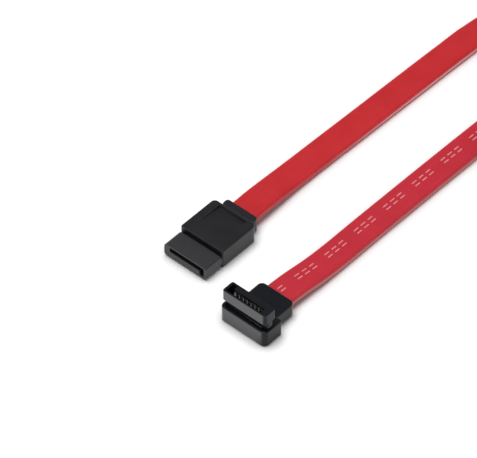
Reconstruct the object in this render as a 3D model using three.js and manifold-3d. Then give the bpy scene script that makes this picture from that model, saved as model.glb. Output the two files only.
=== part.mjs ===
// A flat data cable for a drive: a red ribbon with a straight plug on one end and a plug
// turned up at a right angle on the other. Millimetres, +Z up, plugs to -X, ribbons to +X.
// The frame's origin is on the surface below the middle of the two plugs.
import * as THREE from 'three';
import { mergeVertices } from 'three/addons/utils/BufferGeometryUtils.js';
import Module from 'manifold-3d';

const wasm = await Module();
wasm.setup();

// Ribbon: two shielded pairs side by side in one flat jacket
const ribbonWidth = 8.1;
const ribbonThickness = 2.2;
const ribbonCorner = 0.45;
const coreDiameter = 0.95;
const conductorDiameter = 0.36;
const drainDiameter = 0.25;
const foilWall = 0.1;
const foilClearance = 0.15;

// Contacts, seven in a row
const contactCount = 7;
const contactPitch = 1.27;
const contactWidth = 0.5;
const contactThickness = 0.2;
const contactRise = 0.5;
const contactFront = 1.2;
const contactLift = 0.3;
const springRamp = 0.6;
const springCrest = 0.6;
const springFall = 1.0;
const springShift = 0.1;
const groundTailWidth = 1.4;
const groundContacts = [0, 3, 6];

// Plug nose with its L-shaped slot, measured from its front face and from its leg side
const noseWidth = 14.0;
const noseHeight = 3.8;
const noseCorner = 0.45;
const noseFarCorner = 1.0;
const slotTopWall = 0.5;
const slotHeight = 1.5;
const slotDepth = 5.0;
const slotEndWall = 0.7;
const slotWidth = 11.4;
const legWidth = 1.4;
const legDepth = 3.0;
const legWall = 0.4;
const channelDepth = 0.7;
const neckInset = 0.7;
const neckLength = 0.65;
const joinOverlap = 0.1;
const stubInset = 1.4;
const stubThinning = 0.6;
const fitGap = 0.2;

// Straight plug
const straightNoseLength = 5.6;
const straightNoseLift = 0.5;
const straightStubLength = 3.2;
const bodyOverhang = 0.1;
const bodyLength = 12.85;
const bodyHeight = 5.6;
const bodyFrontCorner = 0.5;
const bodyBackCorner = 1.3;
const collarLength = 2.9;
const collarWidth = 10.4;
const collarLift = 0.5;
const collarHeight = 4.2;
const collarCorner = 0.9;
const collarNeckLength = 0.5;
const collarNeckInset = 0.35;
const recessWidth = 9.0;
const recessLength = 8.1;
const recessDepth = 0.45;
const recessBackMargin = 0.95;

// Plug turned up
const angledCentreY = -25.5;
const angledFrontX = -6.6;
const angledNoseLength = 3.2;
const angledNeckLength = 2.2;
const angledStubLength = 1.4;
const baseOverhang = 0.5;
const baseLength = 6.5;
const baseHeight = 5.0;
const baseLedge = 0.6;
const baseCorner = 1.4;
const baseEdge = 0.35;
const blockWidth = 11.1;
const blockLength = 7.1;
const blockLift = 0.4;
const blockHeight = 4.0;
const blockCorner = 1.5;
const blockEdge = 0.4;

// Walls, edges and clearances of the two mouldings
const edgeRound = 0.25;
const cavityHeight = 2.6;
const cavityMargin = 0.5;
const jacketClearance = 0.2;
const cordGap = 0.3;
const leastRadius = 0.05;
const cornerShare = 0.98;
const cavityBackWall = 2.5;
const tailReach = 2.6;
const bareLength = 1.6;
const bendToWire = 1.2;
const foilSetback = 3.3;
const drainGap = 0.17;

// Loop that holds the length past the plugs' own stretches, and the tie at its neck
const loopRadius = 40.5;
const loopCentreY = -16;
const loopSegments = 72;
const legSpacing = 4.0;
const neckX = 164.2;
const neckRadius = 16;
const tieBand = 0.7;
const tieWidth = 2.6;
const tieSetback = 4.5;
const tieHead = 3.6;

// Derived sizes that several pieces share
const bodyWidth = noseWidth + 2 * bodyOverhang;
const baseWidth = noseWidth + 2 * baseOverhang;
const hollowHalf = noseWidth / 2 - stubInset - cavityMargin;
const pocketHalf = noseWidth / 2 - stubInset + fitGap;
const straightBodyFront = straightNoseLength + neckLength;
const straightBack = straightBodyFront + bodyLength + collarLength;
const ribbonHalf = ribbonWidth / 2;
const ribbonThickHalf = ribbonThickness / 2;
const collarMid = collarLift + collarHeight / 2;
const slotTop = noseHeight - slotTopWall;
const slotFloor = slotTop - slotHeight;
const slotLow = slotEndWall - noseWidth / 2;
const contactFloor = slotFloor - channelDepth + contactLift;
const contactTop = contactFloor + contactThickness;
const angledTop = baseHeight + angledNeckLength + angledNoseLength;
const baseFront = angledFrontX - baseLedge;
const blockBack = baseFront + baseLength + blockLength;
const blockMid = blockLift + blockHeight / 2;
const pairOffset = contactPitch * 1.5;
const drainOffset = contactPitch / 2 + coreDiameter / 2 + drainGap + drainDiameter / 2;
const angledStubBottom = baseHeight - angledStubLength;
const angledTailZ = blockMid - conductorDiameter / 2 - fitGap;
const angledTailTop = angledTop - angledTailZ;
const angledWireStart = angledFrontX + noseHeight - contactFloor + bendToWire;
const angledDrop = angledWireStart + bareLength - fitGap - (angledFrontX + noseHeight);
const neckLift = tieBand + cordGap;
const upperLegY = loopCentreY + legSpacing / 2;
const lowerLegY = loopCentreY - legSpacing / 2;
const loopCentreX = neckX
  + Math.sqrt((loopRadius + neckRadius) ** 2 - (legSpacing / 2 + neckRadius) ** 2);
const tieX = neckX - tieSetback;
const originX = (baseFront + straightBack) / 2;
const originY = (bodyWidth / 2 + angledCentreY - baseWidth / 2) / 2;

// Route of each ribbon: x, y, height of its lower edge, and its roll in degrees.
// It lies flat by the plug and stands on its edge from the loop's neck on.
const straightRoute = [
  [straightBack + cordGap, 0, collarMid - ribbonThickHalf, 0],
  [28, 0.15, 1.4, 0], [36, 0.45, 0.6, 0], [44, 0.5, 0.1, 0], [54, 0.3, 0, 0],
  [70, -0.12, 0, 0], [88, -0.55, 0, 0], [104, -1.0, 0, 0], [114, -1.45, 0, 0],
  [120, -2.2, 0, -10], [127, -4.0, 0, -34], [134, -6.7, 0, -60], [141, -9.7, 0.1, -80],
  [147.5, -12.3, 0.5, -90], [153, -13.6, 0.85, -90],
  [neckX - 6.3, upperLegY, neckLift, -90], [neckX, upperLegY, neckLift, -90],
  [neckX + 6.1, upperLegY + 1.2, 0.7, -90], [neckX + 10.8, upperLegY + 4.2, 0.3, -90],
];
const angledRoute = [
  [blockBack + cordGap, angledCentreY, blockMid - ribbonThickHalf, 0],
  [12, -25.7, 1.2, 0], [20, -26.05, 0.5, 0], [28, -26.15, 0.1, 0], [38, -26.15, 0, 0],
  [54, -26.35, 0, 0], [70, -26.6, 0, 0], [84, -26.9, 0, 0], [96, -27.15, 0, -2],
  [108, -27, 0, -12], [118, -26.2, 0, -30], [127, -24.4, 0, -53], [136, -21.9, 0.1, -76],
  [144.5, -19.5, 0.5, -88], [151.5, -18.3, 0.9, -90],
  [neckX - 6.3, lowerLegY, neckLift, -90], [neckX, lowerLegY, neckLift, -90],
  [neckX + 6.1, lowerLegY - 1.2, 0.7, -90], [neckX + 10.8, lowerLegY - 4.2, 0.3, -90],
];
const routeSteps = 38;
const wireSides = 12;
const weldDistance = 1e-5;

const materials = {
  blackHousing: { color: '#38373b', roughness: 0.5, metalness: 0 },
  blackMoulding: { color: '#2a292d', roughness: 0.45, metalness: 0 },
  glossMoulding: { color: '#232428', roughness: 0.18, metalness: 0 },
  gold: { color: '#c9a24a', roughness: 0.3, metalness: 1 },
  insulation: { color: '#e8e6de', roughness: 0.5, metalness: 0 },
  tinnedCopper: { color: '#b9b6b0', roughness: 0.35, metalness: 1 },
  foil: { color: '#c8cacd', roughness: 0.3, metalness: 1 },
  redJacket: { color: '#c03d3d', roughness: 0.5, metalness: 0 },
  tie: { color: '#1c1c1e', roughness: 0.5, metalness: 0 },
};

// Closed geometry to solid and back, for cuts and joins
function solidOf(geometry) {
  const bare = geometry.clone();
  bare.deleteAttribute('normal');
  bare.deleteAttribute('uv');
  const merged = mergeVertices(bare, weldDistance);
  const triVerts = merged.index
    ? new Uint32Array(merged.index.array)
    : Uint32Array.from({ length: merged.attributes.position.count }, (_, i) => i);
  const vertProperties = new Float32Array(merged.attributes.position.array);
  return new wasm.Manifold(new wasm.Mesh({ numProp: 3, vertProperties, triVerts }));
}

function geometryOf(solid) {
  const mesh = solid.getMesh();
  const geometry = new THREE.BufferGeometry();
  geometry.setAttribute('position', new THREE.BufferAttribute(mesh.vertProperties, 3));
  geometry.setIndex(new THREE.BufferAttribute(mesh.triVerts, 1));
  geometry.computeVertexNormals();
  return geometry;
}

function joinAll(geometries) {
  return geometryOf(geometries.map(solidOf).reduce((a, b) => a.add(b)));
}

function cutAll(geometry, cutters) {
  return geometryOf(cutters.map(solidOf).reduce((a, b) => a.subtract(b), solidOf(geometry)));
}

// Box between two corners
function boxBetween([x0, y0, z0], [x1, y1, z1]) {
  const box = new THREE.BoxGeometry(x1 - x0, y1 - y0, z1 - z0);
  return box.translate((x0 + x1) / 2, (y0 + y1) / 2, (z0 + z1) / 2);
}

// Rectangle in X and Y whose front and back corners have radii of their own, the last back
// corner too where it differs
function roundedPlan(x0, x1, halfY, frontRadius, backRadius, lastRadius = backRadius) {
  const shape = new THREE.Shape();
  shape.moveTo(x0 + frontRadius, -halfY);
  shape.lineTo(x1 - backRadius, -halfY);
  shape.absarc(x1 - backRadius, -halfY + backRadius, backRadius, -Math.PI / 2, 0);
  shape.lineTo(x1, halfY - lastRadius);
  shape.absarc(x1 - lastRadius, halfY - lastRadius, lastRadius, 0, Math.PI / 2);
  shape.lineTo(x0 + frontRadius, halfY);
  shape.absarc(x0 + frontRadius, halfY - frontRadius, frontRadius, Math.PI / 2, Math.PI);
  shape.lineTo(x0, -halfY + frontRadius);
  shape.absarc(x0 + frontRadius, -halfY + frontRadius, frontRadius, Math.PI, Math.PI * 1.5);
  return shape;
}

// Block with rounded corners in plan and rounded edges above and below
function mouldedBlock(x0, x1, halfY, z0, z1, frontRadius, backRadius, edge = edgeRound) {
  const plan = roundedPlan(
    x0 + edge, x1 - edge, halfY - edge,
    Math.max(frontRadius - edge, leastRadius), Math.max(backRadius - edge, leastRadius),
  );
  const block = new THREE.ExtrudeGeometry(plan, {
    depth: z1 - z0 - 2 * edge,
    bevelThickness: edge,
    bevelSize: edge,
    bevelSegments: 2,
    curveSegments: 3,
  });
  return block.translate(0, 0, z0 + edge);
}

// Section of nose, neck or stub: a rounded rectangle run back along X from x0 to x1
function runBack(x0, x1, halfY, z0, z1, radius, farRadius = radius) {
  const section = roundedPlan(z0, z1, halfY, radius, radius, farRadius);
  const bar = new THREE.ExtrudeGeometry(section, {
    depth: x1 - x0, bevelEnabled: false, curveSegments: 2,
  });
  bar.applyMatrix4(new THREE.Matrix4().makeBasis(
    new THREE.Vector3(0, 0, 1), new THREE.Vector3(0, 1, 0), new THREE.Vector3(-1, 0, 0),
  ));
  return bar.translate(x1, 0, 0);
}

const contactY = (i) => (i - (contactCount - 1) / 2) * contactPitch;

// Housing in its own frame: front face at X = 0, leg side at Z = 0, the leg at -Y
function housingGeometry(noseLength, neck, stub) {
  const neckEnd = noseLength + neck;
  const body = joinAll([
    runBack(0, noseLength, noseWidth / 2, 0, noseHeight, noseCorner, noseFarCorner),
    runBack(noseLength - joinOverlap, neckEnd, noseWidth / 2,
      neckInset, noseHeight - neckInset, noseCorner, noseFarCorner),
    runBack(neckEnd - joinOverlap, neckEnd + stub, noseWidth / 2 - stubInset,
      stubThinning, noseHeight - stubThinning, noseCorner),
  ]);
  const mouth = -noseLength;
  const cutters = [
    boxBetween([mouth, slotLow, slotFloor], [slotDepth, slotLow + slotWidth, slotTop]),
    boxBetween([mouth, slotLow, legWall], [legDepth, slotLow + legWidth, slotFloor + fitGap]),
  ];
  for (let i = 0; i < contactCount; i += 1) {
    const half = contactWidth / 2 + fitGap;
    cutters.push(boxBetween(
      [contactFront - fitGap * 2, contactY(i) - half, slotFloor - channelDepth],
      [neckEnd + stub + neckLength, contactY(i) + half, slotFloor + fitGap],
    ));
  }
  return cutAll(body, cutters);
}

// Contact in the same frame: a strip with a raised spring, then its tail. The tail runs on
// straight, or from a bend down to Z = -drop where the plug is turned up.
function contactGeometry(index, bendX, tailX, drop) {
  const low = contactFloor;
  const top = contactTop;
  const outline = new THREE.Shape();
  const crestStart = contactFront + springRamp;
  const crestEnd = crestStart + springCrest;
  const springEnd = crestEnd + springFall;
  outline.moveTo(contactFront, low);
  outline.lineTo(contactFront, top);
  outline.lineTo(crestStart, top + contactRise);
  outline.lineTo(crestEnd, top + contactRise);
  outline.lineTo(springEnd, top);
  outline.lineTo(tailX, top);
  if (drop > 0) {
    outline.lineTo(tailX, -drop);
    outline.lineTo(bendX, -drop);
    outline.lineTo(bendX, low);
  } else {
    outline.lineTo(tailX, low);
  }
  outline.lineTo(springEnd - springShift, low);
  outline.lineTo(crestEnd - springShift, low + contactRise);
  outline.lineTo(crestStart + springShift, low + contactRise);
  outline.lineTo(contactFront + springShift, low);
  const strip = (shape, width) => {
    const blade = new THREE.ExtrudeGeometry(shape, { depth: width, bevelEnabled: false });
    blade.rotateX(Math.PI / 2);
    return blade.translate(0, contactY(index) + width / 2, 0);
  };
  const blade = strip(outline, contactWidth);
  if (!groundContacts.includes(index)) return blade;
  const half = groundTailWidth / 2;
  const y = contactY(index);
  const pad = drop > 0
    ? boxBetween([bendX, y - half, -drop], [tailX, y + half, tailReach - drop])
    : boxBetween([tailX - tailReach, y - half, low], [tailX, y + half, top]);
  return joinAll([blade, pad]);
}

// Round wire along X between two places, at y and z
function wireGeometry(x0, x1, y, z, diameter) {
  const wire = new THREE.CylinderGeometry(diameter / 2, diameter / 2, x1 - x0, wireSides);
  wire.rotateZ(Math.PI / 2);
  return wire.translate((x0 + x1) / 2, y, z);
}

// Insulated core whose stripped end lies over a contact's tail
function coreGeometry(x0, x1, y, z) {
  const bareEnd = x0 + bareLength;
  return joinAll([
    wireGeometry(x0, bareEnd + bareLength, y, z, conductorDiameter),
    wireGeometry(bareEnd, x1, y, z, coreDiameter),
  ]);
}

// Foil wrap around one pair and its two drain wires
function foilGeometry(x0, x1, yMiddle, z) {
  const innerHalfZ = coreDiameter / 2 + foilClearance;
  const innerHalfY = drainOffset + drainDiameter / 2 + foilClearance;
  const oval = (halfY, halfZ) => roundedPlan(-halfZ, halfZ, halfY,
    halfZ * cornerShare, halfZ * cornerShare);
  const section = oval(innerHalfY + foilWall, innerHalfZ + foilWall);
  section.holes.push(oval(innerHalfY, innerHalfZ));
  const sleeve = new THREE.ExtrudeGeometry(section, {
    depth: x1 - x0, bevelEnabled: false, curveSegments: 2,
  });
  sleeve.applyMatrix4(new THREE.Matrix4().makeBasis(
    new THREE.Vector3(0, 0, 1), new THREE.Vector3(0, 1, 0), new THREE.Vector3(-1, 0, 0),
  ));
  return sleeve.translate(x1, yMiddle, z);
}

const model = new THREE.Group();
model.position.set(-originX, -originY, 0);

function addMesh(parent, name, geometry, material) {
  const mesh = new THREE.Mesh(geometry, new THREE.MeshStandardMaterial(materials[material]));
  mesh.name = name;
  parent.add(mesh);
}

// Cores, drains and foils of one plug, from where they meet the contacts back to the cable
function addWires(parent, plug, tailStart, back, y, z) {
  let wire = 0;
  for (const side of [-1, 1]) {
    const middle = y + side * pairOffset;
    for (const half of [-1, 1]) {
      wire += 1;
      const coreY = middle + half * contactPitch / 2;
      const drainY = middle + half * drainOffset;
      addMesh(parent, `${plug}_core_${wire}`,
        coreGeometry(tailStart, back, coreY, z), 'insulation');
      addMesh(parent, `${plug}_drain_${wire}`,
        wireGeometry(tailStart, back, drainY, z, drainDiameter), 'tinnedCopper');
    }
    addMesh(parent, `${plug}_foil_${side < 0 ? 1 : 2}`,
      foilGeometry(tailStart + foilSetback, back, middle, z), 'foil');
  }
}

// Hollow that leads the wires from the housing's stub out through the cable entry
function wireHollow(x0, xMiddle, xBack, y, z) {
  const entryHalf = ribbonHalf + jacketClearance;
  const entryRise = ribbonThickHalf + jacketClearance;
  return [
    boxBetween([x0, y - hollowHalf, z - cavityHeight / 2],
      [xMiddle, y + hollowHalf, z + cavityHeight / 2]),
    boxBetween([xMiddle - fitGap, y - entryHalf, z - entryRise],
      [xBack + cordGap * 2, y + entryHalf, z + entryRise]),
  ];
}

// Straight plug
function straightOvermould() {
  const front = straightBodyFront;
  const bodyBack = front + bodyLength;
  const outer = joinAll([
    mouldedBlock(front, bodyBack, bodyWidth / 2, 0, bodyHeight, bodyFrontCorner, bodyBackCorner),
    boxBetween(
      [bodyBack - bodyBackCorner, collarNeckInset - collarWidth / 2, collarLift + collarNeckInset],
      [bodyBack + collarNeckLength + collarCorner, collarWidth / 2 - collarNeckInset,
        collarLift + collarHeight - collarNeckInset],
    ),
    mouldedBlock(bodyBack + collarNeckLength, straightBack, collarWidth / 2,
      collarLift, collarLift + collarHeight, collarCorner, collarCorner),
  ]);
  const stubEnd = front + straightStubLength;
  const pocket = boxBetween(
    [front - neckLength, -pocketHalf, straightNoseLift + stubThinning - fitGap],
    [stubEnd + fitGap, pocketHalf, straightNoseLift + noseHeight - stubThinning + fitGap],
  );
  // Thumb recess: deepest at its back line, running out towards the nose
  const wedge = new THREE.Shape();
  const recessBack = bodyBack - recessBackMargin;
  wedge.moveTo(recessBack - recessLength, bodyHeight);
  wedge.lineTo(recessBack, bodyHeight - recessDepth);
  wedge.lineTo(recessBack + recessDepth / 2, bodyHeight + recessDepth);
  wedge.lineTo(recessBack - recessLength, bodyHeight + recessDepth);
  const recess = new THREE.ExtrudeGeometry(wedge, { depth: recessWidth, bevelEnabled: false });
  recess.rotateX(Math.PI / 2);
  recess.translate(0, recessWidth / 2, 0);
  return cutAll(outer, [
    pocket, recess,
    ...wireHollow(stubEnd, bodyBack - cavityBackWall, straightBack, 0, collarMid),
  ]);
}

const straight = new THREE.Group();
const straightHousing = new THREE.Group();
straightHousing.position.set(0, 0, straightNoseLift);
straight.add(straightHousing);
model.add(straight);

const straightStubEnd = straightBodyFront + straightStubLength;
const straightTail = straightStubEnd + tailReach;
addMesh(straightHousing, 'straight_housing',
  housingGeometry(straightNoseLength, neckLength, straightStubLength), 'blackHousing');
for (let i = 0; i < contactCount; i += 1) {
  addMesh(straightHousing, `straight_contact_${i + 1}`,
    contactGeometry(i, 0, straightTail, 0), 'gold');
}
addMesh(straight, 'straight_overmould', straightOvermould(), 'blackMoulding');
addWires(straight, 'straight', straightTail - bareLength + fitGap, straightBack, 0, collarMid);

// Plug turned up: its housing stands on end, with the leg side towards the cable
function angledOvermould() {
  const baseBack = baseFront + baseLength;
  const outer = joinAll([
    mouldedBlock(baseFront, baseBack, baseWidth / 2, 0, baseHeight,
      baseCorner, baseCorner / 2, baseEdge),
    mouldedBlock(baseBack - baseCorner, blockBack, blockWidth / 2,
      blockLift, blockLift + blockHeight, blockCorner, blockCorner, blockEdge),
  ]);
  const stubFront = angledFrontX + stubThinning - fitGap;
  const stubBack = angledFrontX + noseHeight - stubThinning + fitGap;
  const pocket = boxBetween(
    [stubFront, -pocketHalf, angledStubBottom - fitGap],
    [stubBack, pocketHalf, baseHeight + neckInset],
  );
  const contactWell = boxBetween([stubFront, -hollowHalf, blockMid],
    [stubBack, hollowHalf, baseHeight]);
  return cutAll(outer, [
    pocket, contactWell,
    ...wireHollow(stubFront, baseBack + tailReach, blockBack, 0, blockMid),
  ]);
}

const angled = new THREE.Group();
angled.position.set(0, angledCentreY, 0);
const angledHousing = new THREE.Group();
angledHousing.applyMatrix4(new THREE.Matrix4().makeBasis(
  new THREE.Vector3(0, 0, -1), new THREE.Vector3(0, -1, 0), new THREE.Vector3(-1, 0, 0),
).setPosition(angledFrontX + noseHeight, 0, angledTop));
angled.add(angledHousing);
model.add(angled);

addMesh(angledHousing, 'angled_housing',
  housingGeometry(angledNoseLength, angledNeckLength, angledStubLength), 'blackHousing');
for (let i = 0; i < contactCount; i += 1) {
  addMesh(angledHousing, `angled_contact_${i + 1}`,
    contactGeometry(i, angledTailTop, angledTailTop + contactThickness, angledDrop), 'gold');
}
addMesh(angled, 'angled_overmould', angledOvermould(), 'glossMoulding');
addWires(angled, 'angled', angledWireStart, blockBack, 0, blockMid);

// Ribbon along a route of [x, y, height of its lower edge, roll in degrees]
class RibbonPath extends THREE.CatmullRomCurve3 {
  constructor(route) {
    super(route.map(([x, y, lift]) => new THREE.Vector3(x, y, lift)), false, 'centripetal');
    this.rolls = route.map(([, , , degrees]) => THREE.MathUtils.degToRad(degrees));
  }

  rollAt(t) {
    const place = t * (this.rolls.length - 1);
    const i = Math.min(Math.floor(place), this.rolls.length - 2);
    return THREE.MathUtils.lerp(this.rolls[i], this.rolls[i + 1], place - i);
  }

  // The middle line is as far above the lower edge as the roll makes it
  getPoint(t, target = new THREE.Vector3()) {
    const point = super.getPoint(t, target);
    const roll = this.rollAt(t);
    const reach = (ribbonHalf - ribbonCorner) * Math.abs(Math.sin(roll))
      + (ribbonThickHalf - ribbonCorner) * Math.abs(Math.cos(roll));
    point.z = Math.max(point.z, 0) + reach + ribbonCorner;
    return point;
  }

  // The section's width stays across the route, turned by the roll
  computeFrenetFrames(segments) {
    const frames = { tangents: [], normals: [], binormals: [] };
    for (let i = 0; i <= segments; i += 1) {
      const tangent = this.getTangentAt(i / segments);
      const side = new THREE.Vector3(0, 0, 1).cross(tangent).normalize();
      side.applyAxisAngle(tangent, this.rollAt(this.getUtoTmapping(i / segments)));
      frames.tangents.push(tangent);
      frames.normals.push(side);
      frames.binormals.push(new THREE.Vector3().crossVectors(tangent, side));
    }
    return frames;
  }
}

function ribbonGeometry(route) {
  const section = roundedPlan(-ribbonHalf, ribbonHalf, ribbonThickHalf, ribbonCorner, ribbonCorner);
  return new THREE.ExtrudeGeometry(section, {
    steps: routeSteps, curveSegments: 1, extrudePath: new RibbonPath(route),
  });
}

// The loop's turn stands on its edge: the ribbon's section turned about the loop's middle
function loopGeometry() {
  const chamfer = ribbonCorner / 2;
  const inner = loopRadius - ribbonThickHalf;
  const outer = loopRadius + ribbonThickHalf;
  const profile = [
    [inner + chamfer, 0], [outer - chamfer, 0], [outer, chamfer], [outer, ribbonWidth - chamfer],
    [outer - chamfer, ribbonWidth], [inner + chamfer, ribbonWidth],
    [inner, ribbonWidth - chamfer], [inner, chamfer], [inner + chamfer, 0],
  ].map(([r, z]) => new THREE.Vector2(r, z));
  const ring = new THREE.LatheGeometry(profile, loopSegments);
  ring.rotateX(Math.PI / 2);
  return ring.translate(loopCentreX, loopCentreY, 0);
}

// Cable tie round both legs of the loop's neck, with its head on top
function tieGeometry() {
  const halfY = legSpacing / 2 + ribbonThickHalf + cordGap;
  const height = neckLift + ribbonWidth + cordGap;
  const back = tieX + tieWidth;
  const y0 = loopCentreY - halfY;
  const y1 = loopCentreY + halfY;
  return joinAll([
    boxBetween([tieX, y0 - tieBand, 0], [back, y1 + tieBand, tieBand]),
    boxBetween([tieX, y0 - tieBand, height], [back, y1 + tieBand, height + tieBand]),
    boxBetween([tieX, y0 - tieBand, tieBand / 2], [back, y0, height + tieBand / 2]),
    boxBetween([tieX, y1, tieBand / 2], [back, y1 + tieBand, height + tieBand / 2]),
    boxBetween([tieX - (tieHead - tieWidth) / 2, loopCentreY - tieHead / 2, height + tieBand / 2],
      [back + (tieHead - tieWidth) / 2, loopCentreY + tieHead / 2, height + tieHead]),
  ]);
}

const cable = new THREE.Group();
model.add(cable);
addMesh(cable, 'straight_run', ribbonGeometry(straightRoute), 'redJacket');
addMesh(cable, 'angled_run', ribbonGeometry(angledRoute), 'redJacket');
addMesh(cable, 'loop', loopGeometry(), 'redJacket');
addMesh(cable, 'tie', tieGeometry(), 'tie');

export default model;
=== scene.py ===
# %% [markdown]
# # A flat red data cable for a drive
#
# The part is a ribbon cable with a straight plug on one end and a plug turned up at a right
# angle on the other. The solid model comes from CAD and is loaded as a fixed frame. Blender
# gives it what a CAD model lacks: the soft ribbon on its real route, softened edges, and
# materials that react to light the way each plastic and metal does.

# %% Load the frame
import math

import bmesh
import bpy
import numpy as np
from mathutils import Matrix, Vector


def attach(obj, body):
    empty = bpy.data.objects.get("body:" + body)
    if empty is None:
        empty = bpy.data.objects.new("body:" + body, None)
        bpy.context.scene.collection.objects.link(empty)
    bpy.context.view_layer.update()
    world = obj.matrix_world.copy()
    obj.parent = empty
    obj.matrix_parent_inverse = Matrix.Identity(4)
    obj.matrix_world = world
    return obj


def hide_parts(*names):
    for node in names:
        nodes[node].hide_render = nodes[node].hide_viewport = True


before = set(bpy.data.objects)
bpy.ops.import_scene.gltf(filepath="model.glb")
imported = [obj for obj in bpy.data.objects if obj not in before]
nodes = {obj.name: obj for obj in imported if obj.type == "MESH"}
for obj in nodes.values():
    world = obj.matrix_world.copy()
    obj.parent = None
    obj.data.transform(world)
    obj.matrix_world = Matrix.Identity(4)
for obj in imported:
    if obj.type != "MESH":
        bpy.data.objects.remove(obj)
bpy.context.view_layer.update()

MM = 0.001

# %% [markdown]
# ## Where a place on the drawing lies
#
# The part's drawing counts from the straight plug's front face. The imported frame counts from
# below the middle of both plugs. One small step takes a drawing place in millimetres to the
# frame's metres, so that routes can be read off the drawing as they are.

# %% From the drawing to the frame
DRAWING_ORIGIN = (7.4, -12.95)


def placed(x, y, z):
    """A place on the drawing, in millimetres, as a place in the frame, in metres."""
    return Vector(((x - DRAWING_ORIGIN[0]) * MM, (y - DRAWING_ORIGIN[1]) * MM, z * MM))


print("straight plug's front face:", placed(0, 0, 0))

# %% [markdown]
# ## The camera
#
# The photograph is a catalogue shot taken from far away with a long lens, so the ribbons'
# edges stay nearly parallel. The camera looks down at about 46 degrees and stands on the
# plugs' side. A long lens at a distance gives that flat look; a short one close by would
# make the near plug too large.

# %% Camera
LOOK_AT = placed(19.08, -1.08, 0)
AZIMUTH, ELEVATION = math.radians(-48.51), math.radians(46.05)
DISTANCE = 0.873
LENS, SENSOR = 259.4, 36

towards_camera = Vector((
    math.sin(AZIMUTH) * math.cos(ELEVATION),
    -math.cos(AZIMUTH) * math.cos(ELEVATION),
    math.sin(ELEVATION),
))
camera_data = bpy.data.cameras.new("camera")
camera_data.lens = LENS
camera_data.sensor_width = SENSOR
camera_data.clip_start = 0.05
camera_data.clip_end = 20
camera = bpy.data.objects.new("camera", camera_data)
camera.location = LOOK_AT + towards_camera * DISTANCE
camera.rotation_mode = "QUATERNION"
camera.rotation_quaternion = (-towards_camera).to_track_quat("-Z", "Y")
bpy.context.scene.collection.objects.link(camera)
bpy.context.scene.camera = camera
print("camera at", [round(v, 3) for v in camera.location])

# %% [markdown]
# ## The ribbon's route
#
# The ribbon is one length of 0.57 m, and with its plugs the cable is a 0.6 m one. It comes
# flat out of the straight plug, runs past the edge of the picture, turns onto its edge and
# goes round one open loop held by a tie. It comes back beside itself, turns flat again and
# ends in the other plug. The twist is a half turn in all, so the printed face shows at one
# end and the bare face at the other.
#
# A row is x, y, the height of the lower edge, and the roll in degrees. The rows repeat the
# route of the CAD solids, so the ribbon lies where the solids are. A curve object with a flat
# bevel would tilt where it likes, so the section is placed at each step instead.
#
# The loop is an arc of one radius. Two short arcs that bend the other way lead into it from
# the neck, where the tie holds both legs side by side.

# %% Sizes of the ribbon and its loop
RIBBON_WIDTH, RIBBON_THICKNESS, RIBBON_CORNER = 8.1, 2.2, 0.45
HALF_WIDTH, HALF_THICKNESS = RIBBON_WIDTH / 2, RIBBON_THICKNESS / 2
LOOP_RADIUS, NECK_RADIUS = 40.5, 16.0
NECK_X, NECK_Y, NECK_HALF = 164.2, -16.0, 2.0
ROUND = LOOP_RADIUS + NECK_RADIUS
LOOP_CENTRE = (NECK_X + math.sqrt(ROUND ** 2 - (NECK_HALF + NECK_RADIUS) ** 2), NECK_Y)
NECK_TURN = math.asin((LOOP_CENTRE[0] - NECK_X) / ROUND)
print("loop's centre:", [round(v, 2) for v in LOOP_CENTRE])

# %% The two runs, from each plug to the tie
straight_rows = [
    (22.3, 0, 1.5, 0), (28, 0.15, 1.4, 0), (36, 0.45, 0.6, 0), (44, 0.5, 0.1, 0),
    (54, 0.3, 0, 0), (70, -0.12, 0, 0), (88, -0.55, 0, 0), (104, -1.0, 0, 0),
    (114, -1.45, 0, 0), (120, -2.2, 0, -10), (127, -4.0, 0, -34), (134, -6.7, 0, -60),
    (141, -9.7, 0.1, -80), (147.5, -12.3, 0.5, -90), (153, -13.6, 0.85, -90),
    (157.9, -14, 1, -90), (164.2, -14, 1, -90),
]
angled_rows = [
    (6.7, -25.5, 1.3, 0), (12, -25.7, 1.2, 0), (20, -26.05, 0.5, 0), (28, -26.15, 0.1, 0),
    (38, -26.15, 0, 0), (54, -26.35, 0, 0), (70, -26.6, 0, 0), (84, -26.9, 0, 0),
    (96, -27.15, 0, -2), (108, -27, 0, -12), (118, -26.2, 0, -30), (127, -24.4, 0, -53),
    (136, -21.9, 0.1, -76), (144.5, -19.5, 0.5, -88), (151.5, -18.3, 0.9, -90),
    (157.9, -18, 1, -90), (164.2, -18, 1, -90),
]
print("rows of the runs:", len(straight_rows), len(angled_rows))

# %% The loop, and the whole route
LOOP_STEPS = 36
NECK_SHARES = (0.25, 0.5, 0.75, 1.0)
INSIDE = 0.9  # how far the jacket goes into each plug
CLEARANCE = 0.3  # the gap that the solids leave between a run and its plug


def neck_arc(side):
    """The short bend between the neck and the loop, on the upper (1) or lower (-1) leg."""
    rows = []
    for share in NECK_SHARES:
        turn = NECK_TURN * share
        y = NECK_HALF + NECK_RADIUS * (1 - math.cos(turn))
        rows.append((NECK_X + NECK_RADIUS * math.sin(turn), LOOP_CENTRE[1] + side * y,
                     1 - share, -90))
    return rows


loop_rows = []
for k in range(1, LOOP_STEPS):
    angle = (math.pi / 2 + NECK_TURN) * (1 - 2 * k / LOOP_STEPS)
    loop_rows.append((LOOP_CENTRE[0] + LOOP_RADIUS * math.cos(angle),
                      LOOP_CENTRE[1] + LOOP_RADIUS * math.sin(angle), 0, -90))

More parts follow.
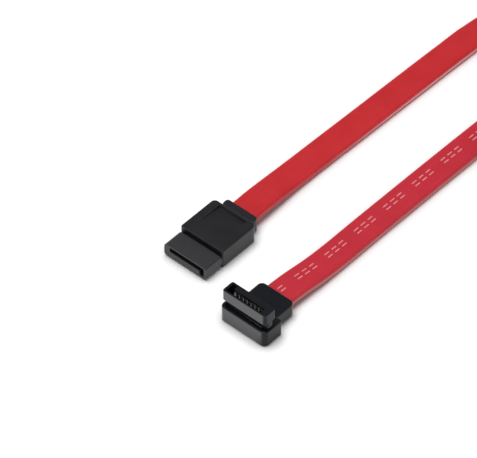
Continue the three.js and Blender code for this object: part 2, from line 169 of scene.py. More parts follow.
entry = [(straight_rows[0][0] - INSIDE - CLEARANCE, *straight_rows[0][1:])]
back_rows = [(x, y, lift, -180 - roll) for x, y, lift, roll in reversed(angled_rows)]
ending = [(back_rows[-1][0] - INSIDE - CLEARANCE, *back_rows[-1][1:])]
rows = np.array(entry + straight_rows + neck_arc(1) + loop_rows + neck_arc(-1)[::-1]
                + back_rows + ending, float)
print("route rows:", len(rows))

# %% [markdown]
# ## A smooth curve through the rows
#
# A Catmull-Rom curve passes through every row. In its centripetal form, the knots are spaced
# by the square root of the distance between rows, and it neither loops nor overshoots where
# the rows are uneven.

# %% Smooth curve
STEP = 1.25


def smooth_through(rows, step):
    """Rows of numbers about a step apart, on a centripetal Catmull-Rom curve."""
    padded = np.vstack([2 * rows[0] - rows[1], rows, 2 * rows[-1] - rows[-2]])
    knots = np.sqrt(np.linalg.norm(np.diff(padded[:, :2], axis=0), axis=1))
    out = []
    for i in range(1, len(padded) - 2):
        p0, p1, p2, p3 = padded[i - 1:i + 3]
        t0 = 0.0
        t1 = t0 + knots[i - 1]
        t2 = t1 + knots[i]
        t3 = t2 + knots[i + 1]
        count = max(1, round(np.linalg.norm(p2[:2] - p1[:2]) / step))
        for t in np.linspace(t1, t2, count, endpoint=False):
            a1 = (t1 - t) / (t1 - t0) * p0 + (t - t0) / (t1 - t0) * p1
            a2 = (t2 - t) / (t2 - t1) * p1 + (t - t1) / (t2 - t1) * p2
            a3 = (t3 - t) / (t3 - t2) * p2 + (t - t2) / (t3 - t2) * p3
            b1 = (t2 - t) / (t2 - t0) * a1 + (t - t0) / (t2 - t0) * a2
            b2 = (t3 - t) / (t3 - t1) * a2 + (t - t1) / (t3 - t1) * a3
            out.append((t2 - t) / (t2 - t1) * b1 + (t - t1) / (t2 - t1) * b2)
    return np.array(out + [rows[-1]])


fine = smooth_through(rows, STEP)
rolls = np.radians(fine[:, 3])
rise = np.maximum(fine[:, 2], 0) + RIBBON_CORNER
rise += (HALF_WIDTH - RIBBON_CORNER) * np.abs(np.sin(rolls))
rise += (HALF_THICKNESS - RIBBON_CORNER) * np.abs(np.cos(rolls))
centreline = [placed(x, y, z) for x, y, z in zip(fine[:, 0], fine[:, 1], rise)]
along = np.concatenate([[0], np.cumsum([
    (b - a).length for a, b in zip(centreline, centreline[1:])])])
print("cable length in mm:", round(along[-1] / MM, 1))

# %% [markdown]
# ## The ribbon
#
# On the real cable two shielded pairs lie side by side, and a soft jacket is pressed over
# them. The section is a flat bar with rounded corners, and the jacket sinks by a few
# hundredths of a millimetre between the pairs.

# %% The ribbon's section
VALLEY, VALLEY_WIDTH = 0.05, 0.9
FLAT_POINTS, EDGE_STEPS = 11, 4


def ribbon_section():
    """(across, out) points round the section in mm, out below 0 on the printed face."""
    flat, wall = HALF_WIDTH - RIBBON_CORNER, HALF_THICKNESS - RIBBON_CORNER
    across = np.linspace(-flat, flat, FLAT_POINTS)
    depth = HALF_THICKNESS - VALLEY * np.exp(-(across / VALLEY_WIDTH) ** 2)
    corner = [math.pi / 2 * (1 - k / EDGE_STEPS) for k in range(1, EDGE_STEPS + 1)]
    upper = [(flat + RIBBON_CORNER * math.cos(a), wall + RIBBON_CORNER * math.sin(a))
             for a in corner]
    right = upper + [(a, -b) for a, b in upper[::-1]]
    top = list(zip(across, depth))
    bottom = [(a, -d) for a, d in zip(across[::-1], depth[::-1])]
    left = [(-a, -b) for a, b in right]
    return top + right + bottom + left


section = ribbon_section()
print("points round the ribbon:", len(section))

# %% [markdown]
# ## From the section to a mesh
#
# The section is set at each step of the route, square to it and rolled with it, and faces
# join each ring to the next. The mesh keeps two numbers for each corner: how many millimetres
# lie between it and the cable's end, and how far across it is. The material uses them for the
# fine draw lines and for the marks on one face. On the bare face the second number has 100
# added, and the narrow walls run from the one to the other, so it also says which face is which.

# %% Ribbon mesh
BARE_FACE = 100

ribbon_mesh = bmesh.new()
route_layer = ribbon_mesh.loops.layers.uv.new("route")
rings = []
for i, point in enumerate(centreline):
    before = centreline[max(i - 1, 0)]
    after = centreline[min(i + 1, len(centreline) - 1)]
    tangent = (after - before).normalized()
    side = Vector((0, 0, 1)).cross(tangent).normalized()
    side = Matrix.Rotation(rolls[i], 3, tangent) @ side
    out = tangent.cross(side)
    rings.append([ribbon_mesh.verts.new(point + side * a * MM + out * b * MM)
                  for a, b in section])
count = len(section)
for i in range(len(rings) - 1):
    for k in range(count):
        n = (k + 1) % count
        face = ribbon_mesh.faces.new((rings[i][k], rings[i][n],
                                      rings[i + 1][n], rings[i + 1][k]))
        face.smooth = True
        for loop, (ring, corner) in zip(face.loops, ((i, k), (i, n), (i + 1, n), (i + 1, k))):
            a, b = section[corner]
            to_the_end = (along[-1] - along[ring]) / MM
            loop[route_layer].uv = (to_the_end, a if b < 0 else a + BARE_FACE)
ribbon_mesh.faces.new(rings[0][::-1])
ribbon_mesh.faces.new(rings[-1])
bmesh.ops.recalc_face_normals(ribbon_mesh, faces=ribbon_mesh.faces)
ribbon_data = bpy.data.meshes.new("ribbon")
ribbon_mesh.to_mesh(ribbon_data)
ribbon_mesh.free()
ribbon = bpy.data.objects.new("ribbon", ribbon_data)
bpy.context.scene.collection.objects.link(ribbon)
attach(ribbon, "root")
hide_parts("straight_run", "angled_run", "loop")
print("ribbon faces:", len(ribbon_data.polygons))

# %% [markdown]
# ## The cable tie
#
# A tie holds the neck of the loop. A real one is a toothed nylon strap that runs through a
# small locking head and is trimmed behind it. The strap is a closed band drawn in the plane
# across the cable.

# %% The tie's strap
TIE_X, TIE_WIDTH, TIE_BAND = 159.7, 2.6, 0.7
TIE_LOW, TIE_HIGH, TIE_HALF = 0.0, 10.1, 4.1
STRAP_CORNER, INNER_CORNER = 1.1, 0.6


def band_outline(half, low, high, radius, steps=6):
    """Corners of an upright rounded rectangle in the plane across the cable."""
    points = []
    for cx, cz, first in ((half, high, 0), (-half, high, 90),
                          (-half, low, 180), (half, low, 270)):
        mx = cx - math.copysign(radius, cx)
        mz = cz - radius if cz == high else cz + radius
        for k in range(steps + 1):
            a = math.radians(first + 90 * k / steps)
            points.append((mx + radius * math.cos(a), mz + radius * math.sin(a)))
    return points


outer = band_outline(TIE_HALF, TIE_LOW, TIE_HIGH, STRAP_CORNER)
inner = band_outline(TIE_HALF - TIE_BAND, TIE_LOW + TIE_BAND, TIE_HIGH - TIE_BAND, INNER_CORNER)
tie_mesh = bmesh.new()
loops = []
for x, outline in ((TIE_X, outer), (TIE_X + TIE_WIDTH, outer),
                   (TIE_X + TIE_WIDTH, inner), (TIE_X, inner)):
    loops.append([tie_mesh.verts.new(placed(x, LOOP_CENTRE[1] + y, z)) for y, z in outline])
for a, b in zip(loops, loops[1:] + loops[:1]):
    for k in range(len(a)):
        n = (k + 1) % len(a)
        tie_mesh.faces.new((a[k], a[n], b[n], b[k]))
print("strap faces:", len(tie_mesh.faces))

# %% [markdown]
# ## The tie's head, tail and teeth
#
# The head is a block on top of the strap, the strap's trimmed end stands a little out of it,
# and beside the head the first teeth show. Each is a box of its own in the same mesh, and the
# edge modifiers further down round them all.

# %% Head, tail and teeth
# Sinks and rises are millimetres from the top of the strap
HEAD, HEAD_SINK, HEAD_RISE = 3.6, 0.35, 2.4
TAIL_HALF, TAIL_FRONT, TAIL_BACK = 1.1, 0.4, 0.3
TAIL_LOW, TAIL_RISE = 2.0, 2.9
TEETH, TOOTH_START, TOOTH_PITCH, TOOTH = 5, 3.4, 0.3, 0.15
TOOTH_HALF, TOOTH_SINK, TOOTH_RISE = 0.8, 0.1, 0.08


def add_block(mesh, low, high):
    """A box between two drawing corners, joined to the mesh as a closed piece of its own."""
    block = bmesh.ops.create_cube(mesh, size=1)["verts"]
    low, high = placed(*low), placed(*high)
    for vert in block:
        vert.co = Vector([l + (h - l) * (c + 0.5) for l, h, c in zip(low, high, vert.co)])


middle = TIE_X + TIE_WIDTH / 2
add_block(tie_mesh, (middle - HEAD / 2, LOOP_CENTRE[1] - HEAD / 2, TIE_HIGH - HEAD_SINK),
          (middle + HEAD / 2, LOOP_CENTRE[1] + HEAD / 2, TIE_HIGH + HEAD_RISE))
add_block(tie_mesh, (middle - TAIL_HALF, LOOP_CENTRE[1] - TAIL_FRONT, TIE_HIGH + TAIL_LOW),
          (middle + TAIL_HALF, LOOP_CENTRE[1] + TAIL_BACK, TIE_HIGH + TAIL_RISE))
for k in range(TEETH):
    y = LOOP_CENTRE[1] - TOOTH_START + k * TOOTH_PITCH
    add_block(tie_mesh, (middle - TOOTH_HALF, y, TIE_HIGH - TOOTH_SINK),
              (middle + TOOTH_HALF, y + TOOTH, TIE_HIGH + TOOTH_RISE))
bmesh.ops.recalc_face_normals(tie_mesh, faces=tie_mesh.faces)
tie_data = bpy.data.meshes.new("cable_tie")
tie_mesh.to_mesh(tie_data)
tie_mesh.free()
cable_tie = bpy.data.objects.new("cable_tie", tie_data)
bpy.context.scene.collection.objects.link(cable_tie)
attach(cable_tie, "root")
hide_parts("tie")
print("tie faces:", len(tie_data.polygons))

# %% [markdown]

# %% [markdown]
# ## Softened edges on the moulded parts
#
# No moulded edge is perfectly sharp: the steel tool and the shrinking plastic leave a radius
# of about a tenth of a millimetre, and it is what catches the light. The CAD solids are cut
# sharp, so a chain of modifiers first joins their flat triangles, then rounds the sharp edges,
# and last makes the shading follow the large faces. The mesh itself isn't touched.

# %% Edge modifiers
MOULDED_RADIUS, TIE_RADIUS, STAMPED_RADIUS = 0.1, 0.12, 0.03
JOIN_WITHIN, FLAT_WITHIN = 0.002, 1.5  # mm between corners, degrees between faces


def soften(thing, radius, sharper_than=32):
    """Round the edges sharper than this many degrees, by a radius in millimetres."""
    weld = thing.modifiers.new("weld", "WELD")
    weld.merge_threshold = JOIN_WITHIN * MM
    flat = thing.modifiers.new("flat_faces", "DECIMATE")
    flat.decimate_type = "DISSOLVE"
    flat.angle_limit = math.radians(FLAT_WITHIN)
    edge = thing.modifiers.new("moulded_edge", "BEVEL")
    edge.width = radius * MM
    edge.segments = 2
    edge.limit_method = "ANGLE"
    edge.angle_limit = math.radians(sharper_than)
    edge.use_clamp_overlap = True
    edge.harden_normals = False
    for polygon in thing.data.polygons:
        polygon.use_smooth = True
    shading = thing.modifiers.new("shading", "WEIGHTED_NORMAL")
    shading.keep_sharp = False
    shading.weight = 90


for name in ("straight_housing", "angled_housing", "straight_overmould", "angled_overmould"):
    soften(nodes[name], MOULDED_RADIUS)
soften(cable_tie, TIE_RADIUS)
for name, thing in nodes.items():
    if "_contact_" in name:
        soften(thing, STAMPED_RADIUS)
print("softened nodes:", sum(1 for thing in nodes.values() if thing.modifiers))

# %% [markdown]
# ## Colour and nodes
#
# Colours are given as sRGB hex values, as a screen shows them, while the shaders add light in
# linear values, so one function turns one into the other. A second small function adds a
# shader node, with its settings and its links, and is all that the materials need.

# %% Helpers for materials
def linear(hex_colour):
    """An sRGB colour such as #CC2129 as linear RGBA."""
    parts = [int(hex_colour[i:i + 2], 16) / 255 for i in (1, 3, 5)]
    return [c / 12.92 if c <= 0.04045 else ((c + 0.055) / 1.055) ** 2.4 for c in parts] + [1]


def add(tree, kind, settings=None, links=None):
    """A node of this kind. A setting is a property in small letters, or a socket's own value."""
    made = tree.nodes.new("ShaderNode" + kind)
    for key, value in (settings or {}).items():
        if isinstance(key, str) and hasattr(made, key):
            setattr(made, key, value)
        else:
            made.inputs[key].default_value = value
    for key, source in (links or {}).items():
        tree.links.new(source, made.inputs[key])
    return made


def new_material(name, settings):
    """A material with its Principled shader set and its object coordinates at hand."""
    material = bpy.data.materials.new(name)
    material.use_nodes = True
    tree = material.node_tree
    shader = tree.nodes["Principled BSDF"]
    for key, value in settings.items():
        shader.inputs[key].default_value = value
    place = add(tree, "TexCoord").outputs["Object"]
    return material, tree, shader, place


def dress(material, *things):
    """The things get the material in place of their own."""
    for thing in things:
        thing.data.materials.clear()
        thing.data.materials.append(material)
    print(material.name, "on", len(things))


print("black plastic's #131519 in linear light:", [round(v, 4) for v in linear("#131519")])

# %% [markdown]
# ## The jacket: soft PVC
#
# The jacket is plasticised PVC, pushed through a die as a hot paste. It gives the eye a satin
# skin, faint draw lines along the cable and a slightly uneven red. PVC's IOR is about 1.53.
# The draw lines are about 0.15 mm apart on the real skin; here they are 0.3 mm, which is as
# fine as this picture shows.
#
# A noise that is stretched along the cable makes the streaks, and one that is left round makes
# the slow change of red. The face that takes the ink is primed, which makes it more crimson.

# %% PVC jacket: the red
DRAW_LINE, MOTTLE, GRAIN = 0.3, 6.0, 0.35
STRETCH = 0.04  # how fast the draw lines change along the cable, as a share of across
PRIMED = (0.97, 1.15, 1.6, 1.0)

pvc, tree, shader, place = new_material("pvc_jacket_extruded", {
    "IOR": 1.53, "Roughness": 0.42, "Metallic": 0.0, "Specular IOR Level": 0.3,
})
route = add(tree, "UVMap", {"uv_map": "route"}).outputs["UV"]
split = add(tree, "SeparateXYZ", links={"Vector": route})
lines = add(tree, "Mapping", {"Scale": (STRETCH / DRAW_LINE, 1 / DRAW_LINE, 1)},
            {"Vector": route})
drawn = add(tree, "TexNoise", {"Scale": 1.0, "Detail": 3.0, "Roughness": 0.6},
            {"Vector": lines.outputs["Vector"]})
mottled = add(tree, "TexNoise", {"Scale": 1 / (MOTTLE * MM), "Detail": 4.0, "Roughness": 0.55},
              {"Vector": place})
grain = add(tree, "TexNoise", {"Scale": 1 / (GRAIN * MM), "Detail": 2.0}, {"Vector": place})
red = add(tree, "ValToRGB", links={"Fac": mottled.outputs["Fac"]})
red.color_ramp.elements[0].position = 0.3
red.color_ramp.elements[0].color = linear("#CC2129")
red.color_ramp.elements[1].position = 0.72
red.color_ramp.elements[1].color = linear("#D5262D")
streaked = add(tree, "Mix", {"data_type": "RGBA", "blend_type": "MULTIPLY",
                             7: linear("#E6DCDC")},
               {6: red.outputs["Color"], 0: drawn.outputs["Fac"]})
primed = add(tree, "Math", {"operation": "LESS_THAN", 1: BARE_FACE / 2}, {0: split.outputs["Y"]})
faced = add(tree, "Mix", {"data_type": "RGBA", "blend_type": "MULTIPLY", 7: PRIMED},
            {6: streaked.outputs[2], 0: primed.outputs[0]})
print("draw lines each", DRAW_LINE, "mm, red changes each", MOTTLE, "mm")

# %% [markdown]
# ## The jacket's walls: a painted highlight
#
# The two narrow walls carry a painted highlight, a pale pink for the light a wall catches from
# the bright paper beside it. Along most of the cable the part of a wall next to the printed face
# is painted pale pink. Near the plug that is turned up, the other part is painted, in a greyer
# tone that grows towards the floor. The number across runs from -4 to 4 on the printed face and
# from 96 to 104 on the bare one, and the walls hold what lies in between. So a band on a wall is
# a range of that number, given by its middle and its half width.

# %% PVC jacket: painted highlight on the walls
HIGHLIGHT_FROM, HIGHLIGHT_TO = (556.0, 508.0), (110.0, 160.0)  # along the cable, mm from its end
HIGHLIGHT_BAND, WALL_BAND = (33.0, 29.0), (50.0, 45.5)  # across, a middle and a half width
LOW_HIGHLIGHT, LOW_HIGHLIGHT_SHARE = (5.0, 75.0), 0.5

# Painted highlight: the pale pink band on the wall beside the printed face, along most of the
# cable
highlight_band = add(tree, "Math", {"operation": "COMPARE", 1: HIGHLIGHT_BAND[0], 2: HIGHLIGHT_BAND[1]},
           {0: split.outputs["Y"]})
leaving = add(tree, "MapRange", {"interpolation_type": "SMOOTHSTEP", "From Min": HIGHLIGHT_FROM[0],
                                 "From Max": HIGHLIGHT_FROM[1]}, {"Value": split.outputs["X"]})
coming = add(tree, "MapRange", {"interpolation_type": "SMOOTHSTEP", "From Min": HIGHLIGHT_TO[0],
                                "From Max": HIGHLIGHT_TO[1]}, {"Value": split.outputs["X"]})
pale = add(tree, "Math", {"operation": "MULTIPLY"},
           {0: leaving.outputs["Result"], 1: coming.outputs["Result"]})
pale = add(tree, "Math", {"operation": "MULTIPLY"}, {0: pale.outputs[0], 1: highlight_band.outputs[0]})

# Near the turned up plug the printed face is up, and the painted highlight on the wall grows
# towards the floor
on_wall = add(tree, "Math", {"operation": "COMPARE", 1: WALL_BAND[0], 2: WALL_BAND[1]},
              {0: split.outputs["Y"]})
downward = add(tree, "MapRange", {"From Min": LOW_HIGHLIGHT[0], "From Max": LOW_HIGHLIGHT[1],
                                  "To Max": LOW_HIGHLIGHT_SHARE},
               {"Value": split.outputs["Y"]})
early = add(tree, "Math", {"operation": "SUBTRACT", 0: 1.0}, {1: coming.outputs["Result"]})
low = add(tree, "Math", {"operation": "MULTIPLY"},
          {0: downward.outputs["Result"], 1: early.outputs[0]})
low = add(tree, "Math", {"operation": "MULTIPLY"}, {0: low.outputs[0], 1: on_wall.outputs[0]})
# The greyer tone and the pale pink are both painted highlight laid over the jacket's red
greyer = add(tree, "Mix", {"data_type": "RGBA", 7: linear("#DBA5A4")},
             {6: faced.outputs[2], 0: low.outputs[0]})
highlighted = add(tree, "Mix", {"data_type": "RGBA", 7: linear("#F79AA0")},
             {6: greyer.outputs[2], 0: pale.outputs[0]})
print("pale walls from", HIGHLIGHT_FROM[1], "to", HIGHLIGHT_TO[1], "mm, and greyer ones up to the end")

# %% [markdown]
# ## The marks on the jacket
#
# On the printed face of the real cable runs a line of lettering. It is left out, and groups of
# three dashes in two rows stand in its place, in the same pale ink. A few steps of arithmetic
# on how far along and across a point lies say whether it is on a dash, so no picture is
# needed. The ink is thin and worn, so a fine noise takes some of it away.

# %% PVC jacket: marks
DASH, DASH_PITCH, DASHES = 1.7, 2.7, 3
GROUP_PITCH, GROUP_START = 11.4, 8.0
DASH_CENTRE, DASH_SPREAD, DASH_HALF = 0.7, 0.6, 0.16

from_start = add(tree, "Math", {"operation": "SUBTRACT", 1: GROUP_START},
                 {0: split.outputs["X"]})
in_group = add(tree, "Math", {"operation": "FLOORED_MODULO", 1: GROUP_PITCH},
               {0: from_start.outputs[0]})
in_dash = add(tree, "Math", {"operation": "FLOORED_MODULO", 1: DASH_PITCH},
              {0: in_group.outputs[0]})
on_dash = add(tree, "Math", {"operation": "LESS_THAN", 1: DASH}, {0: in_dash.outputs[0]})
on_group = add(tree, "Math", {"operation": "LESS_THAN", 1: DASH_PITCH * DASHES},
               {0: in_group.outputs[0]})
off_centre = add(tree, "Math", {"operation": "SUBTRACT", 1: DASH_CENTRE},
                 {0: split.outputs["Y"]})
mirrored = add(tree, "Math", {"operation": "ABSOLUTE"}, {0: off_centre.outputs[0]})
on_line = add(tree, "Math", {"operation": "COMPARE", 1: DASH_SPREAD, 2: DASH_HALF},
              {0: mirrored.outputs[0]})
along_marks = add(tree, "Math", {"operation": "MULTIPLY"},
                  {0: on_dash.outputs[0], 1: on_group.outputs[0]})
marks = add(tree, "Math", {"operation": "MULTIPLY"},
            {0: along_marks.outputs[0], 1: on_line.outputs[0]})
worn = add(tree, "MapRange", {"From Min": 0.3, "From Max": 0.55, "To Min": 0.55, "To Max": 0.85},
           {"Value": grain.outputs["Fac"]})
ink = add(tree, "Math", {"operation": "MULTIPLY"},
          {0: marks.outputs[0], 1: worn.outputs["Result"]})
inked = add(tree, "Mix", {"data_type": "RGBA", 7: linear("#E9A0A4")},
            {6: highlighted.outputs[2], 0: ink.outputs[0]})
tree.links.new(inked.outputs[2], shader.inputs["Base Color"])
print("groups of marks:", math.ceil((along[-1] / MM - GROUP_START) / GROUP_PITCH))

# %% [markdown]
# ## The jacket's skin
#
# The skin is satin, a little shinier here and duller there, and the draw lines stand up by
# about a hundredth of a millimetre. That is far too little for the mesh, so it is a bump.

# %% PVC jacket: the skin
DRAW_DEPTH = 0.012

satin = add(tree, "MapRange", {"To Min": 0.36, "To Max": 0.5}, {"Value": mottled.outputs["Fac"]})
tree.links.new(satin.outputs["Result"], shader.inputs["Roughness"])
skin = add(tree, "Math", {"operation": "MULTIPLY_ADD", 1: 0.6},
           {0: drawn.outputs["Fac"], 2: grain.outputs["Fac"]})
bump = add(tree, "Bump", {"Strength": 0.5, "Distance": DRAW_DEPTH * MM},
           {"Height": skin.outputs[0]})
tree.links.new(bump.outputs["Normal"], shader.inputs["Normal"])
dress(pvc, ribbon)

# %% [markdown]
# ## The black plastics
#
# The plug's nose is glass-filled PBT, which holds the contacts in line and comes out of the
# tool with a fine eroded surface, so it looks a shade paler than the overmould. The straight
# plug's overmould is soft black PVC with a satin skin. The other plug came from polished tools,
# so its nose and its overmould are glossy. All four are black, with an IOR close to 1.5, and
# differ only in how rough they are and at what scale.

# %% A black plastic
FLOW = 4.0  # mm that the plastic flows before its tone and gloss change


def black_plastic(name, colour, worn_colour, ior, smooth, rough, grain_mm, bump_mm, shine=0.28):
    """A moulded black plastic: two close tones, gloss between two values, and a fine grain."""
    material, tree, shader, place = new_material(name, {
        "IOR": ior, "Metallic": 0.0, "Specular IOR Level": shine})
    grain = add(tree, "TexNoise", {"Scale": 1 / (grain_mm * MM), "Detail": 3.0},
                {"Vector": place})
    flow = add(tree, "TexNoise", {"Scale": 1 / (FLOW * MM), "Detail": 3.0, "Roughness": 0.6},
               {"Vector": place})
    colours = add(tree, "Mix", {"data_type": "RGBA", 6: linear(colour), 7: linear(worn_colour)},
                  {0: flow.outputs["Fac"]})
    tree.links.new(colours.outputs[2], shader.inputs["Base Color"])
    level = add(tree, "MapRange", {"From Min": 0.3, "From Max": 0.7,
                                   "To Min": smooth, "To Max": rough},
                {"Value": flow.outputs["Fac"]})
    tree.links.new(level.outputs["Result"], shader.inputs["Roughness"])
    bump = add(tree, "Bump", {"Strength": 0.6, "Distance": bump_mm * MM},
               {"Height": grain.outputs["Fac"]})
    tree.links.new(bump.outputs["Normal"], shader.inputs["Normal"])
    return material


print("flow marks each", FLOW, "mm")

# %% The plugs' plastics
PBT_IOR, PVC_IOR = 1.55, 1.53
# Smoothest, roughest, then the grain's size and depth in millimetres
ERODED = (0.4, 0.48, 0.3, 0.02)
SATIN = (0.36, 0.44, 0.35, 0.02)
POLISHED = (0.12, 0.2, 0.9, 0.006)
POLISHED_SHINE = 0.24

pbt = black_plastic("pbt_moulded_eroded", "#29282C", "#302F33", PBT_IOR, *ERODED)
pvc_black = black_plastic("pvc_overmould_satin", "#131217", "#1A191D", PVC_IOR, *SATIN)
pvc_gloss = black_plastic("pvc_overmould_gloss", "#131519", "#181A1F", PVC_IOR, *POLISHED,
                          POLISHED_SHINE)
pbt_gloss = black_plastic("pbt_moulded_gloss", "#15171B", "#1A1C21", PBT_IOR, *POLISHED,
                          POLISHED_SHINE)
dress(pbt, nodes["straight_housing"])
dress(pbt_gloss, nodes["angled_housing"])
dress(pvc_black, nodes["straight_overmould"])
dress(pvc_gloss, nodes["angled_overmould"])

# %% [markdown]
# ## The contacts: stamped and plated
#
# The contacts are stamped from copper alloy strip, bent, and plated with nickel and a thin
# flash of gold. The flash is so thin that the eye sees a pale, greyish gold, smooth with fine
# stamping marks.

# %% Gold flash
STAMP_MARK, STAMP_DEPTH = 0.2, 0.004

gold, tree, shader, place = new_material("gold_plate_stamped", {
    "Metallic": 1.0, "Roughness": 0.25,
})
stamp = add(tree, "TexNoise", {"Scale": 1 / (STAMP_MARK * MM), "Detail": 3.0},
            {"Vector": place})
tone = add(tree, "Mix", {"data_type": "RGBA", 6: linear("#CDB98F"), 7: linear("#B9A377")},
           {0: stamp.outputs["Fac"]})
tree.links.new(tone.outputs[2], shader.inputs["Base Color"])
bump = add(tree, "Bump", {"Strength": 0.4, "Distance": STAMP_DEPTH * MM},
           {"Height": stamp.outputs["Fac"]})
tree.links.new(bump.outputs["Normal"], shader.inputs["Normal"])
dress(gold, *[t for n, t in nodes.items() if "_contact_" in n])

# %% [markdown]
# ## The drain wires: tinned copper
#
# A bare wire beside each pair drains the shield. It is copper, dipped in tin so that it solders
# well, and tin dulls in patches after a while.

# %% Tinned wire
DULL_PATCH = 0.5

tin, tree, shader, place = new_material("copper_wire_tinned", {
    "Metallic": 1.0, "Roughness": 0.35,
})
dull = add(tree, "TexNoise", {"Scale": 1 / (DULL_PATCH * MM), "Detail": 4.0},
           {"Vector": place})
tone = add(tree, "Mix", {"data_type": "RGBA", 6: linear("#C4C1BA"), 7: linear("#A8A49C")},
           {0: dull.outputs["Fac"]})
tree.links.new(tone.outputs[2], shader.inputs["Base Color"])
dress(tin, *[t for n, t in nodes.items() if "_drain_" in n])

# %% [markdown]
# ## The shield: aluminium film
#
# Each pair is wrapped in a thin plastic film with an aluminium face. It creases where it is
# folded round the pair, and a Voronoi pattern's edges make creases of that kind, with painted
# shade darkening the film along them.

# %% Foil
CREASE, CREASE_DEPTH = 0.8, 0.03

foil, tree, shader, place = new_material("aluminium_film_wrapped", {
    "Metallic": 1.0, "Roughness": 0.28,
})
crease_and_shade = add(tree, "TexVoronoi", {"feature": "DISTANCE_TO_EDGE", "Scale": 1 / (CREASE * MM)},
             {"Vector": place})
# Painted shade: the film's tone is darker along the crease lines
tone = add(tree, "Mix", {"data_type": "RGBA", 6: linear("#B9BBBF"), 7: linear("#D2D4D8")},
           {0: crease_and_shade.outputs["Distance"]})
tree.links.new(tone.outputs[2], shader.inputs["Base Color"])
bump = add(tree, "Bump", {"Strength": 0.7, "Distance": CREASE_DEPTH * MM},
           {"Height": crease_and_shade.outputs["Distance"]})
tree.links.new(bump.outputs["Normal"], shader.inputs["Normal"])
dress(foil, *[t for n, t in nodes.items() if "_foil_" in n])

# %% [markdown]
# ## The cores: polyethylene
#
# The insulation of the cores is polyethylene without a dye. It is milky and waxy, and its tone
# changes a little along the wire.

# %% Core insulation
MILKY_PATCH = 1.2

pe, tree, shader, place = new_material("polyethylene_core_extruded", {
    "IOR": 1.51, "Roughness": 0.4,
})
milky = add(tree, "TexNoise", {"Scale": 1 / (MILKY_PATCH * MM), "Detail": 3.0},
            {"Vector": place})
tone = add(tree, "Mix", {"data_type": "RGBA", 6: linear("#E4E1D8"), 7: linear("#EFEDE6")},
           {0: milky.outputs["Fac"]})
tree.links.new(tone.outputs[2], shader.inputs["Base Color"])
dress(pe, *[t for n, t in nodes.items() if "_core_" in n])

# %% [markdown]
# ## Nylon for the tie
#
# Cable ties are moulded nylon 66 with soot in it. Nylon takes up water and stays a little
# waxy, so the tie is a touch glossier than the satin overmould, with a faint flow pattern.

# %% Nylon
nylon = black_plastic("nylon_tie_moulded", "#17171A", "#202024", 1.53, 0.3, 0.42, 0.5, 0.01)
dress(nylon, cable_tie)

# %% [markdown]
# ## Floor, light and background
#
# The photograph is lit from a wide soft source above, and its ground is burnt out to white
# except for a narrow shadow along the plugs and ribbons. The floor is white paper that gets
# its last share of brightness only for rays from the camera, from glossy surfaces and through
# clear ones, so the picture's ground is white while the part isn't lit any more strongly. For
# the camera that share follows how open the paper is to the sky, so that it leaves the narrow
# shadow alone.
#
# Upright black faces mirror the paper just in front of them. In the photograph the plugs'
# front faces are the palest and the near side of the second plug is dark, so for mirrored
# rays the share is larger in front of the plugs and ends beside the second one.
#
# The tops of the plugs mirror what stands high behind them, and in the photograph that was
# dark. So the sky is pale near the horizon and grey higher up.

# %% The floor
FLOOR_SIZE = 3.0
BELOW = 0.03  # mm under the part, so that no faces share one plane

floor_data = bpy.data.meshes.new("floor")
half = FLOOR_SIZE / 2
floor_data.from_pydata([(-half, -half, 0), (half, -half, 0), (half, half, 0), (-half, half, 0)],
                       [], [(0, 1, 2, 3)])
floor = bpy.data.objects.new("floor", floor_data)
floor.location = (0, 0, -BELOW * MM)
bpy.context.scene.collection.objects.link(floor)
print("floor, metres wide:", FLOOR_SIZE)

# %% White paper, and its share for each kind of ray
GLOW, POOL_GLOW = 0.32, 1.4
POOL_X, POOL_Y = (-0.019, -0.012), (-0.0195, -0.0155)  # metres, where the shares fade
SHADOW_REACH, FIBRE = 3.5, 2.0  # mm
SHADED, OPEN = 0.6, 0.98  # how much of the sky the paper meets there

paper, tree, shader, place = new_material("paper_white_matt", {
    "Roughness": 0.9, "Specular IOR Level": 0.1,
})
fibre = add(tree, "TexNoise", {"Scale": 1 / (FIBRE * MM), "Detail": 3.0}, {"Vector": place})
tone = add(tree, "Mix", {"data_type": "RGBA", 6: linear("#E9E9E9"), 7: linear("#EDEDED")},
           {0: fibre.outputs["Fac"]})
tree.links.new(tone.outputs[2], shader.inputs["Base Color"])
near = add(tree, "AmbientOcclusion", {"samples": 8, "Distance": SHADOW_REACH * MM})
share = add(tree, "MapRange", {"From Min": SHADED, "From Max": OPEN, "To Max": GLOW},
            {"Value": near.outputs["AO"]})
ray = add(tree, "LightPath")
seen = add(tree, "Math", {"operation": "MULTIPLY"},
           {0: ray.outputs["Is Camera Ray"], 1: share.outputs["Result"]})
spot = add(tree, "SeparateXYZ", links={"Vector": place})
leftward = add(tree, "MapRange", {"interpolation_type": "SMOOTHSTEP", "From Min": POOL_X[0],
                                  "From Max": POOL_X[1], "To Min": POOL_GLOW, "To Max": GLOW},
               {"Value": spot.outputs["X"]})
inward = add(tree, "MapRange", {"interpolation_type": "SMOOTHSTEP", "From Min": POOL_Y[0],
                                "From Max": POOL_Y[1]}, {"Value": spot.outputs["Y"]})
level = add(tree, "Math", {"operation": "MULTIPLY"},
            {0: leftward.outputs["Result"], 1: inward.outputs["Result"]})
reflected = add(tree, "Math", {"operation": "MAXIMUM"},
                {0: ray.outputs["Is Glossy Ray"], 1: ray.outputs["Is Transmission Ray"]})
glow = add(tree, "Math", {"operation": "MULTIPLY_ADD"},
           {0: reflected.outputs[0], 1: level.outputs[0], 2: seen.outputs[0]})
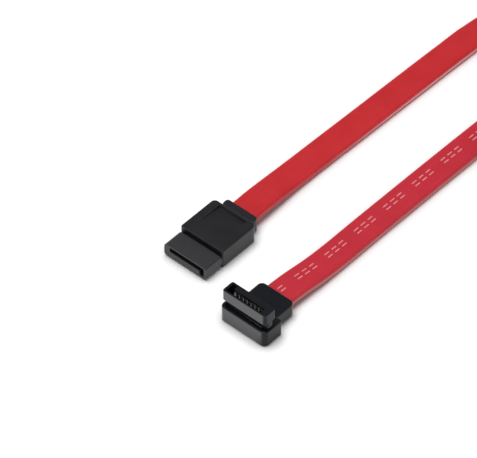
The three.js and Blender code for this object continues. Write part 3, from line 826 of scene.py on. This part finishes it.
light = add(tree, "Emission", {"Color": (1, 1, 1, 1)}, {"Strength": glow.outputs[0]})
both = add(tree, "AddShader", links={0: shader.outputs[0], 1: light.outputs[0]})
tree.links.new(both.outputs[0], tree.nodes["Material Output"].inputs["Surface"])
dress(paper, floor)

# %% [markdown]
# ## The sky and the lamp
#
# The world is the studio's walls and ceiling. One soft lamp, half a metre square, hangs
# nearly overhead: the photograph's shadows are narrow and lie close along the ribbons. It
# stands a little to the back, where no top face mirrors it towards the camera.

# %% Sky and softbox
SKY_LOW, SKY_HIGH = 0.9, 0.24
SKY_FROM, SKY_TO = 0.15, 0.55  # how steeply a direction rises, as the sine of its angle
LAMP_PLACE, LAMP_AIM = (-0.03, 0.12, 0.95), (0.03, 0, 0)
LAMP_SIZE, LAMP_WATTS = (0.5, 0.5), 6.5

world = bpy.data.worlds.new("studio")
world.use_nodes = True
bpy.context.scene.world = world
tree = world.node_tree
direction = add(tree, "TexCoord").outputs["Generated"]
height = add(tree, "SeparateXYZ", links={"Vector": direction})
sky = add(tree, "MapRange", {"interpolation_type": "SMOOTHSTEP", "From Min": SKY_FROM,
                             "From Max": SKY_TO, "To Min": SKY_LOW, "To Max": SKY_HIGH},
          {"Value": height.outputs["Z"]})
tree.links.new(sky.outputs["Result"], tree.nodes["Background"].inputs["Strength"])
tree.nodes["Background"].inputs["Color"].default_value = (1, 1, 1, 1)


def softbox(name, place, aim, size, watts):
    """A soft area lamp at a place, turned towards its aim."""
    data = bpy.data.lights.new(name, "AREA")
    data.shape = "RECTANGLE"
    data.size, data.size_y = size
    data.energy = watts
    lamp = bpy.data.objects.new(name, data)
    lamp.location = place
    lamp.rotation_mode = "QUATERNION"
    lamp.rotation_quaternion = (Vector(aim) - Vector(place)).to_track_quat("-Z", "Y")
    bpy.context.scene.collection.objects.link(lamp)


softbox("overhead_softbox", LAMP_PLACE, LAMP_AIM, LAMP_SIZE, LAMP_WATTS)
bpy.context.scene.view_settings.view_transform = "Standard"
print("sky and lamp in place,", LAMP_WATTS, "W")
